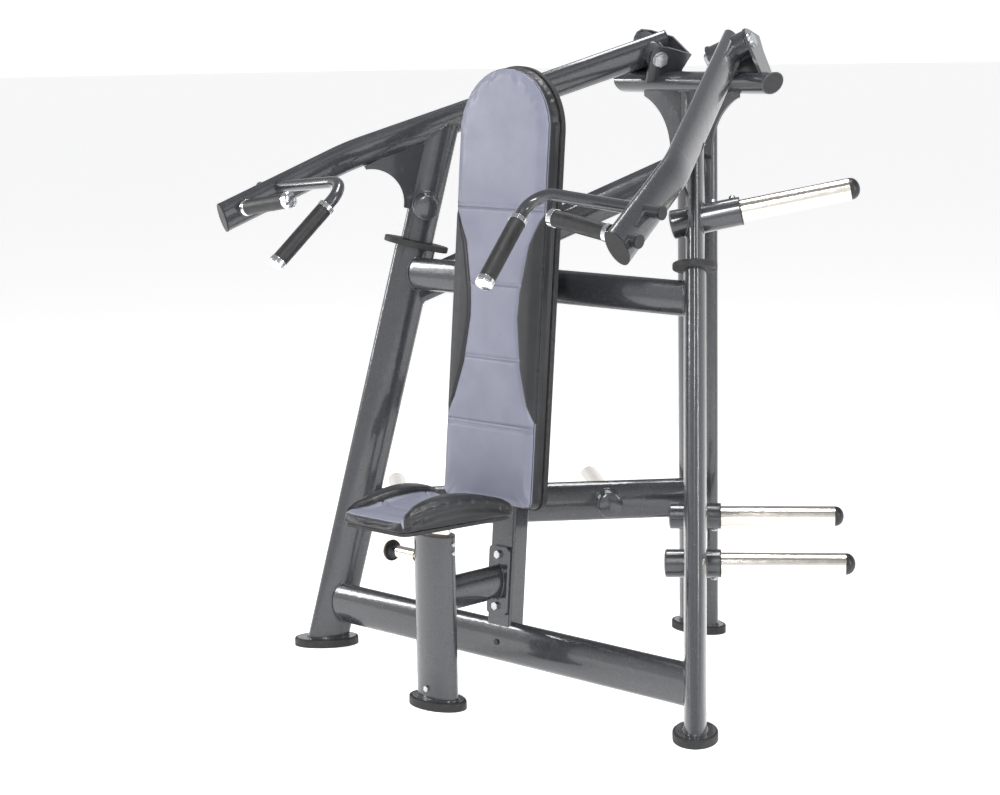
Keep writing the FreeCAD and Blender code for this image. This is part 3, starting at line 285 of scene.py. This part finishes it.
# back pad plane: x across, y up the lean, z forward out of the pad
BACK_PLANE = Matrix(((1, 0, 0, 0.0),
                     (0, math.sin(LEAN), -math.cos(LEAN), -0.2272),
                     (0, math.cos(LEAN), math.sin(LEAN), 0.0033),
                     (0, 0, 0, 1)))
PAD_HALF = 0.151          # half width
PAD_LOW = 0.4358          # foot and head of the pad, along the lean
PAD_HIGH = 1.4520
PAD_REAR = 0.0133         # rear and front faces
PAD_FRONT = 0.055
PAD_CORNER = 0.026        # round corners of the foot
PAD_EDGE = 0.014          # rounding of the pad's front edge
PIPING_DEPTH = 0.040      # height of the piping above the pad's mounting plane
PANEL_ENDS = (0.6246, 1.1276)
# cross seams up the pad, and whether each is a pair
PAD_SEAMS = ((1.1276, True), (0.9509, False), (0.7802, False), (0.6246, True))
SEAM_PAIR = 0.0048        # half the distance between the two seams of a pair
BLEND = 0.004             # how quickly grey relief fades on the black panels
# width of the black side panels, from the pad edge, against height along the pad
PAD_PANEL = ((0.60, -0.02), (0.6246, 0.0), (0.68, 0.034), (0.763, 0.060), (0.874, 0.075),
             (0.934, 0.072), (1.044, 0.050), (1.10, 0.022), (1.1276, 0.0), (1.15, -0.02))

SEAT_LOW = 0.4463         # underside
SEAT_CEILING = 0.500      # top of the cushion before it is arched
SEAT_Y = (-0.5961, -0.2741)     # front and back edges
SEAT_HALF = (0.110, 0.147)      # half widths at the front and at the back
SEAT_CREST = (-0.4381, 0.505)   # y and z of the highest line across the seat
SEAT_ARCH = 0.421         # radius of the arched top
SEAT_CORNER = 0.028
SEAT_EDGE = 0.022         # rounding of the top edge
SEAT_HOLLOW = 0.016       # depth of the grey middle below the side rolls
SEAT_BAND = 0.010         # black bands along the front edge and the foot
SEAT_SEAMS = (-0.506, -0.368)
# half width of the grey middle panel against distance from the front edge
SEAT_PANEL = ((-0.01, 0.112), (0.004, 0.104), (0.035, 0.074), (0.07, 0.058), (0.14, 0.049),
              (0.195, 0.052), (0.25, 0.068), (0.30, 0.098), (0.34, 0.13))


def along_table(table, value):
    """Straight-line reading of a table of (position, value) pairs."""
    if value <= table[0][0]:
        return table[0][1]
    for (x0, y0), (x1, y1) in zip(table, table[1:]):
        if value <= x1:
            share = (value - x0) / (x1 - x0)
            return y0 + (y1 - y0) * share
    return table[-1][1]


def corner_arc(x, y, radius, first, last, steps=8):
    angles = [math.radians(first + (last - first) * i / steps) for i in range(steps + 1)]
    return [(x + radius * math.cos(a), y + radius * math.sin(a)) for a in angles]


def back_outline(inset):
    """Back pad outline: square foot with round corners, half-round head."""
    half = PAD_HALF - inset
    low = PAD_LOW + inset
    corner = PAD_CORNER
    straight = PAD_HIGH - PAD_HALF - PAD_LOW
    points = corner_arc(0, PAD_HIGH - PAD_HALF, half, 0, 180, 48)
    points += [(-half, PAD_LOW + straight * (1 - i / 60)) for i in range(1, 57)]
    points += corner_arc(corner - half, low + corner, corner, 180, 270)
    points += corner_arc(half - corner, low + corner, corner, 270, 360)
    points += [(half, PAD_LOW + straight * i / 60) for i in range(4, 60)]
    return points


def seat_outline(inset):
    """Seat plan from above, narrower at the front, with round corners."""
    front, back = SEAT_Y[0] + inset, SEAT_Y[1] - inset
    narrow, wide = SEAT_HALF[0] - inset, SEAT_HALF[1] - inset
    corner = SEAT_CORNER - inset
    points = []
    corners = ((wide, back, 0), (-wide, back, 90), (-narrow, front, 180), (narrow, front, 270))
    for x, y, first in corners:
        cx = x - math.copysign(corner, x)
        cy = y - corner if y == back else y + corner
        points += corner_arc(cx, cy, corner, first, first + 90)
    return points


def prism_mesh(name, outline, low, high):
    shape = bmesh.new()
    rings = [[shape.verts.new((x, y, z)) for x, y in outline] for z in (low, high)]
    count = len(outline)
    shape.faces.new(list(reversed(rings[0])))
    shape.faces.new(rings[1])
    for i in range(count):
        j = (i + 1) % count
        shape.faces.new((rings[0][i], rings[0][j], rings[1][j], rings[1][i]))
    bmesh.ops.recalc_face_normals(shape, faces=shape.faces)
    mesh = bpy.data.meshes.new(name)
    shape.to_mesh(mesh)
    shape.free()
    return mesh


def add_piece(name, mesh, body, finish):
    piece = bpy.data.objects.new(name, mesh)
    bpy.context.scene.collection.objects.link(piece)
    mesh.materials.clear()
    mesh.materials.append(finish)
    mesh.shade_smooth()
    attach(piece, body)
    return piece


def applied(piece):
    """Mesh of a piece with its modifiers applied."""
    graph = bpy.context.evaluated_depsgraph_get()
    return bpy.data.meshes.new_from_object(piece.evaluated_get(graph))


def swollen(name, mesh, held_below):
    """Stuffed form: remesh, inflate as cloth over a held underside, then subdivide once."""
    work = bpy.data.objects.new(name + "_work", mesh)
    bpy.context.scene.collection.objects.link(work)
    remesh = work.modifiers.new("remesh", "REMESH")
    remesh.mode = "VOXEL"
    remesh.voxel_size = VOXEL
    work.data = applied(work)
    work.modifiers.clear()
    start = [v.co.copy() for v in work.data.vertices]
    held = work.vertex_groups.new(name="held")
    held.add([v.index for v in work.data.vertices if v.co.z < held_below], 1.0, "REPLACE")
    cloth = work.modifiers.new("cloth", "CLOTH")
    cloth.settings.quality = 4
    cloth.settings.mass = 0.3
    cloth.settings.use_pressure = True
    cloth.settings.uniform_pressure_force = 4.0
    cloth.settings.vertex_group_mass = "held"
    cloth.settings.effector_weights.gravity = 0.0
    cloth.point_cache.frame_start = 1
    cloth.point_cache.frame_end = 20
    for number in range(1, 21):
        bpy.context.scene.frame_set(number)
    done = applied(work)
    for vertex, before in zip(done.vertices, start):
        step = vertex.co - before
        if step.length > SWELL_LIMIT:
            vertex.co = before + step * (SWELL_LIMIT / step.length)
    work.modifiers.clear()
    work.data = done
    bpy.context.scene.frame_set(1)
    work.modifiers.new("finer", "SUBSURF").levels = 1
    result = applied(work)
    bpy.data.objects.remove(work)
    return result


def valley(distance, depth, width):
    """Depth of a sewn groove at a distance from its line."""
    return depth * math.exp(-(distance / width) ** 2)


def edge_drop(inside, radius):
    """How far a rounded edge lies below the flat face, a given distance in from the rim."""
    if inside >= radius:
        return 0.0
    short = radius - max(inside, 0.0)
    return radius - math.sqrt(max(radius * radius - short * short, 0.0))


def back_inside(x, y):
    """Distance from a point of the pad plane in to the outline."""
    centre = PAD_HIGH - PAD_HALF
    if y > centre:
        return PAD_HALF - math.hypot(x, y - centre)
    return min(PAD_HALF - abs(x), y - PAD_LOW)


def back_seam_depth(x, y):
    """Sewn relief of the back pad's face: cross seams, panel seams and the swell between."""
    panel = PAD_HALF - along_table(PAD_PANEL, y)
    inside = panel - abs(x)
    depth = 0.0
    nearest = 1.0
    on_grey = 1.0 if inside > 0 else math.exp(-(inside / BLEND) ** 2)
    for place, double in PAD_SEAMS:
        gap = y - place
        nearest = min(nearest, abs(gap))
        if double:
            depth = max(depth, on_grey * max(valley(gap - SEAM_PAIR, 0.0042, 0.0032),
                                             valley(gap + SEAM_PAIR, 0.0042, 0.0032)))
        else:
            depth = max(depth, on_grey * valley(gap, 0.0048, 0.0045))
    if PANEL_ENDS[0] < y < PANEL_ENDS[1]:
        nearest = min(nearest, abs(inside))
        depth = max(depth, valley(inside, 0.0034, 0.0035))
    return depth + 0.0022 * on_grey * math.exp(-nearest / 0.022), inside


def make_back_pad():
    base = prism_mesh("back_pad_base", back_outline(ALLOWANCE), PAD_REAR, PAD_FRONT - ALLOWANCE)
    mesh = swollen("back_pad", base, PAD_REAR + ALLOWANCE)
    panel = mesh.attributes.new("panel", "FLOAT", "POINT")
    thick = PAD_FRONT - PAD_REAR
    for vertex in mesh.vertices:
        x, y, z = vertex.co
        share = min(max((z - PAD_REAR) / thick, 0.0), 1.0)
        seam, inside = back_seam_depth(x, y)
        drop = edge_drop(back_inside(x, y), PAD_EDGE)
        vertex.co.z = max(z - share ** 3 * (seam + drop), PAD_REAR)
        panel.data[vertex.index].value = min(inside, vertex.co.z - PIPING_DEPTH)
    return mesh


def seat_top(y):
    return SEAT_CREST[1] - SEAT_ARCH + math.sqrt(SEAT_ARCH ** 2 - (y - SEAT_CREST[0]) ** 2)


def seat_half(y):
    share = (y - SEAT_Y[0]) / (SEAT_Y[1] - SEAT_Y[0])
    return SEAT_HALF[0] + (SEAT_HALF[1] - SEAT_HALF[0]) * share


def make_seat():
    base = prism_mesh("seat_base", seat_outline(ALLOWANCE), SEAT_LOW, SEAT_CEILING)
    mesh = swollen("seat_cushion", base, SEAT_LOW + ALLOWANCE)
    panel = mesh.attributes.new("panel", "FLOAT", "POINT")
    for vertex in mesh.vertices:
        x, y, z = vertex.co
        share = min(max((z - SEAT_LOW) / (SEAT_CEILING - SEAT_LOW), 0.0), 1.08)
        top = seat_top(y) - 0.002
        inside = along_table(SEAT_PANEL, y - SEAT_Y[0]) - abs(x)
        on_grey = 1.0 if inside > 0 else math.exp(-(inside / BLEND) ** 2)
        from_front = min(1.0, (y - SEAT_Y[0]) / 0.05)
        hollow = SEAT_HOLLOW * (0.5 + 0.5 * math.tanh(inside / 0.010)) * from_front
        gap = min(abs(y - place) for place in SEAT_SEAMS)
        seam = on_grey * valley(gap, 0.005, 0.0045) + on_grey * 0.0025 * math.exp(-gap / 0.02)
        seam = max(seam, valley(inside, 0.0045, 0.004))
        rim = min(seat_half(y) - abs(x), y - SEAT_Y[0], SEAT_Y[1] - y)
        drop = edge_drop(rim, SEAT_EDGE)
        height = SEAT_LOW + share * (top - SEAT_LOW)
        vertex.co.z = max(height - share ** 2 * (hollow + seam + drop), SEAT_LOW)
        front_band = (y - SEAT_Y[0]) - SEAT_BAND
        foot_band = vertex.co.z - SEAT_LOW - SEAT_BAND
        panel.data[vertex.index].value = min(inside, front_band, foot_band)
    return mesh


def tube_mesh(name, points, radius, sides=8, closed=False):
    """Round tube swept along points, with flat ends."""
    shape = bmesh.new()
    rings = []
    count = len(points)
    for i, point in enumerate(points):
        before = points[i - 1] if (closed or i > 0) else point
        after = points[(i + 1) % count] if (closed or i < count - 1) else point
        ahead = (after - before).normalized()
        across = ahead.cross(Vector((0.31, 0.17, 0.93))).normalized()
        other = ahead.cross(across)
        rings.append([shape.verts.new(point + across * (radius * math.cos(2 * math.pi * k / sides))
                                      + other * (radius * math.sin(2 * math.pi * k / sides)))
                      for k in range(sides)])
    last = count if closed else count - 1
    for i in range(last):
        first, second = rings[i], rings[(i + 1) % count]
        for k in range(sides):
            j = (k + 1) % sides
            shape.faces.new((first[k], first[j], second[j], second[k]))
    if not closed:
        shape.faces.new(list(reversed(rings[0])))
        shape.faces.new(rings[-1])
    bmesh.ops.recalc_face_normals(shape, faces=shape.faces)
    mesh = bpy.data.meshes.new(name)
    shape.to_mesh(mesh)
    shape.free()
    return mesh


def joined(name, meshes, plane=None):
    """One mesh from several, optionally moved by a matrix."""
    shape = bmesh.new()
    for mesh in meshes:
        shape.from_mesh(mesh)
    if plane is not None:
        shape.transform(plane)
    result = bpy.data.meshes.new(name)
    shape.to_mesh(result)
    shape.free()
    return result


def surface_of(mesh):
    shape = bmesh.new()
    shape.from_mesh(mesh)
    tree = BVHTree.FromBMesh(shape)
    shape.free()
    return tree


def wall_path(tree, outline, height, reach=0.05):
    """Points of a cushion's side wall at one height (or a height for each outline point)."""
    path = []
    count = len(outline)
    for i, (x, y) in enumerate(outline):
        ahead = Vector(outline[(i + 1) % count]) - Vector(outline[i - 1])
        outward = Vector((ahead.y, -ahead.x, 0)).normalized()
        level = height(x, y) if callable(height) else height
        hit = tree.ray_cast(Vector((x, y, level)) + outward * reach, -outward, 2 * reach)[0]
        if hit is not None:
            path.append(hit)
    return path


def stitches(tree, points, spacing, length, radius, zigzag=0.0):
    """Short threads lying on a surface along a line, seen from above the surface."""
    meshes = []
    travelled = 0.0
    number = 0
    for a, b in zip(points, points[1:]):
        span = (b - a).length
        while travelled < span:
            middle = a.lerp(b, travelled / span)
            ahead = (b - a).normalized()
            side = Vector((-ahead.y, ahead.x, 0)) * (zigzag if number % 2 else -zigzag)
            ends = [middle - ahead * length / 2 - side, middle + ahead * length / 2 + side]
            hits = [tree.ray_cast(Vector((e.x, e.y, 0.3)), Vector((0, 0, -1)))[0] for e in ends]
            if None not in hits:
                lift = Vector((0, 0, radius * 0.5))
                meshes.append(tube_mesh("stitch", [hits[0] + lift, hits[1] + lift], radius, 6))
            travelled += spacing
            number += 1
        travelled -= span
    return meshes


def dress_back():
    """Back pad with its cover, piping and seam stitches."""
    local = make_back_pad()
    tree = surface_of(local)
    rim = wall_path(tree, back_outline(0.0), PIPING_DEPTH)
    piping = tube_mesh("piping", rim, 0.0016, 8, True)
    upper_rim = wall_path(tree, back_outline(0.0), PIPING_DEPTH + 0.006)
    lip = tube_mesh("lip", upper_rim, 0.0009, 6, True)
    threads = []
    for place, double in PAD_SEAMS:
        if double:
            half = PAD_HALF - 0.016
            offset = -SEAM_PAIR if place > 1.0 else SEAM_PAIR
            line = [Vector((-half, place + offset, 0)), Vector((half, place + offset, 0))]
            threads += stitches(tree, line, 0.0052, 0.0036, 0.00045, 0.0009)
    local.transform(BACK_PLANE)
    pad = add_piece("back_pad_cover", local, "frame", FINISHES["leatherette"])
    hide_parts("back_pad")
    trim = joined("back_piping", [piping, lip], BACK_PLANE)
    add_piece("back_pad_piping", trim, "frame", FINISHES["cover_trim"])
    add_piece("back_pad_stitches", joined("back_stitches", threads, BACK_PLANE), "frame",
              FINISHES["thread"])


def dress_seat():
    """Seat cushion with its cover, piping round the rim and piping along the grey panel's edges."""
    mesh = make_seat()
    tree = surface_of(mesh)
    rim = wall_path(tree, seat_outline(0.0), lambda x, y: seat_top(y) - 0.024)
    piping = [tube_mesh("piping", rim, 0.0015, 8, True)]
    for side in (1.0, -1.0):
        line = []
        for i in range(70):
            y = SEAT_Y[0] + 0.012 + i * (SEAT_Y[1] - SEAT_Y[0] - 0.03) / 69
            x = side * (along_table(SEAT_PANEL, y - SEAT_Y[0]) + 0.0035)
            if abs(x) < seat_half(y) - 0.008:
                hit = tree.ray_cast(Vector((x, y, 0.6)), Vector((0, 0, -1)))[0]
                if hit is not None:
                    line.append(hit + Vector((0, 0, 0.0004)))
        piping.append(tube_mesh("panel_piping", line, 0.0013, 8))
    seat = add_piece("seat_cover", mesh, "seat", FINISHES["leatherette"])
    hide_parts("seat_cushion")
    add_piece("seat_piping", joined("seat_piping", piping), "seat",
              FINISHES["cover_trim"])


# ---- weld beads and small screws ----------------------------------------------------------------
POST_Y = 0.5239                 # rear post
SIDE_ANGLE = math.radians(39.8)  # plan angle of each side frame from the middle plane
FOOT_REACH = 0.952              # rear post to the upright's axis along the floor
UPRIGHT_LEAN = 0.246            # reach lost for each metre of height
BIG = (0.100, 0.050)            # long and short outer widths of the oval tubes
MID = (0.080, 0.040)
POST = (0.120, 0.060)
SLEEVE = (0.0812, 0.0412)
CENTRE = (0.078, 0.050)
SOCKET = (0.064, 0.064)
LOW_BRACE_Z = 0.345
STORAGE_REACH = (0.235, 0.750)
LINK_Z = 0.255
ARM_HORN_Z = 1.108
HORN_RISE = math.radians(11.0)
UP = Vector((0, 0, 1))
ACROSS = Vector((1, 0, 0))
FORWARD = Vector((0, -1, 0))
BEAD = 0.0026                   # radius of a weld bead
BEAD_SIDES = 7


def side_forward(side):
    return Vector((side * math.sin(SIDE_ANGLE), -math.cos(SIDE_ANGLE), 0))


def side_outward(side):
    return Vector((side * math.cos(SIDE_ANGLE), math.sin(SIDE_ANGLE), 0))


def upright_reach(z):
    return FOOT_REACH - UPRIGHT_LEAN * z


def side_point(side, reach, z):
    return Vector((0, POST_Y, z)) + side_forward(side) * reach


def world_tree(name):
    node = nodes[name]
    shape = bmesh.new()
    shape.from_mesh(node.data)
    shape.transform(node.matrix_world)
    tree = BVHTree.FromBMesh(shape)
    shape.free()
    return tree


def rippled(name, points):
    """Weld bead: a closed tube along points whose thickness ripples."""
    mesh = tube_mesh(name, points, BEAD, BEAD_SIDES, True)
    for index, vertex in enumerate(mesh.vertices):
        station = index // BEAD_SIDES
        centre = points[station]
        vertex.co = centre + (vertex.co - centre) * (0.86 + 0.22 * abs(math.sin(station * 1.35)))
    return mesh


def bead(tree, origin, along, wide, size, reach=1.2, steps=110):
    """Bead where an oval tube, seen from a point on its axis, runs into a surface."""
    along = along.normalized()
    wide = (wide - along * wide.dot(along)).normalized()
    other = along.cross(wide)
    half_wide, half_other = size[0] / 2 + 0.0006, size[1] / 2 + 0.0006
    points = []
    for step in range(steps):
        angle = 2 * math.pi * step / steps
        out = wide * half_wide * math.cos(angle) + other * half_other * math.sin(angle)
        hit = tree.ray_cast(origin + out, along, reach)[0]
        if hit is not None and (not points or (hit - points[-1]).length < 0.03):
            points.append(hit)
    if len(points) < steps * 0.9:
        return []
    return [rippled("bead", points)]


def frame_beads():
    beads = []
    names = ("left_upright", "right_upright", "rear_post", "front_cross_tube", "top_cross_tube",
             "foot_plates", "lower_braces", "seat_post", "seat_link")
    trees = {name: world_tree(name) for name in names}
    for side, upright in ((1.0, "left_upright"), (-1.0, "right_upright")):
        tree = trees[upright]
        for z, size in ((0.110, BIG), (0.936, MID)):
            y = side_point(side, upright_reach(z), z).y
            beads += bead(tree, Vector((0, y, z)), ACROSS * side, UP, size)
        low = side_point(side, 0.45, LOW_BRACE_Z)
        beads += bead(tree, low, side_forward(side), UP, BIG)
        beads += bead(trees["rear_post"], low, -side_forward(side), UP, BIG)
        rear = side_point(side, 0, 1.196)
        front = side_point(side, upright_reach(0.885), 0.885)
        along = front - rear
        beads += bead(tree, rear.lerp(front, 0.5), along, UP, MID)
        beads += bead(trees["rear_post"], rear.lerp(front, 0.5), -along, UP, MID)
        axis = (UP - side_forward(side) * UPRIGHT_LEAN).normalized()
        foot = side_point(side, upright_reach(0.2), 0.2)
        beads += bead(trees["foot_plates"], foot, -axis, side_forward(side), BIG)
        for reach in STORAGE_REACH:
            centre = side_point(side, reach, LOW_BRACE_Z)
            for way in (1.0, -1.0):
                out = side_outward(side) * way
                beads += bead(trees["lower_braces"], centre + out * 0.2, -out, UP, SOCKET, 0.3)
    beads += bead(trees["foot_plates"], Vector((0, POST_Y, 0.2)), -UP, ACROSS, POST)
    beads += bead(trees["foot_plates"], Vector((0, POST_Y - 0.925, 0.2)), -UP, ACROSS, POST)
    beads += bead(trees["top_cross_tube"], Vector((0, POST_Y, 1.2)), UP, ACROSS, POST)
    beads += bead(trees["seat_post"], Vector((0, POST_Y - 0.80, LINK_Z)), FORWARD, UP, MID)
    beads += bead(trees["seat_link"], Vector((0, POST_Y - 0.85, LINK_Z)), -FORWARD, UP, SLEEVE)
    lean = Vector((0, math.sin(LEAN), math.cos(LEAN)))
    centre_post = Vector((0, POST_Y - 0.6879, 0.300))
    beads += bead(trees["front_cross_tube"], centre_post, -lean, ACROSS, CENTRE)
    return beads


def arm_horn(side):
    """Middle of the weight horn's socket in the leg, and the direction of the horn."""
    axis = side_outward(side) * math.cos(HORN_RISE) + UP * math.sin(HORN_RISE)
    return side_point(side, upright_reach(ARM_HORN_Z), ARM_HORN_Z), axis


def arm_beads(side, name):
    arm, leg = world_tree(name + "_arm_tube"), world_tree(name + "_arm_leg")
    axis = (UP - side_forward(side) * UPRIGHT_LEAN).normalized()
    beads = bead(arm, side_point(side, upright_reach(1.06), 1.06), axis, side_forward(side), MID)
    centre, horn = arm_horn(side)
    for way in (1.0, -1.0):
        beads += bead(leg, centre + horn * way * 0.2, -horn * way, UP, SOCKET, 0.3)
    return beads


# radius of each step of a screw head, and where the step begins and ends above the socket
SCREW_STEPS = ((0.0075, 0.0, 0.0035), (0.0058, 0.0035, 0.0055), (0.003, 0.0055, 0.0062))


def socket_screws(point, axis, up, places):
    """Button-head set screws in the side of a weight horn's socket."""
    screws = []
    up = (up - axis * up.dot(axis)).normalized()
    for place in places:
        foot = point + axis * place + up * 0.0318
        for radius, low, high in SCREW_STEPS:
            screws.append(tube_mesh("screw", [foot + up * low, foot + up * high], radius, 20))
    return screws


def dress_welds():
    """Weld beads at the tube joints and the set screws of the weight horns."""
    paint, zinc = FINISHES["frame_paint"], FINISHES["zinc_steel"]
    add_piece("frame_welds", joined("frame_welds", frame_beads()), "frame", paint)
    screws = []
    for side, name in ((1.0, "left"), (-1.0, "right")):
        welds = joined(name + "_arm_welds", arm_beads(side, name))
        add_piece(name + "_arm_welds", welds, name + "_arm", paint)
        centre, horn = arm_horn(side)
        horn_screws = joined(name + "_horn_screws", socket_screws(centre, horn, UP, (0.047, 0.090)))
        add_piece(name + "_horn_screws", horn_screws, name + "_arm", zinc)
        for reach in STORAGE_REACH:
            centre = side_point(side, reach, LOW_BRACE_Z)
            screws += socket_screws(centre, side_outward(side), -UP, (0.041,))
    add_piece("storage_screws", joined("storage_screws", screws), "frame", zinc)


add_camera()
add_studio()
dress_cad()
dress_back()
dress_seat()
dress_welds()
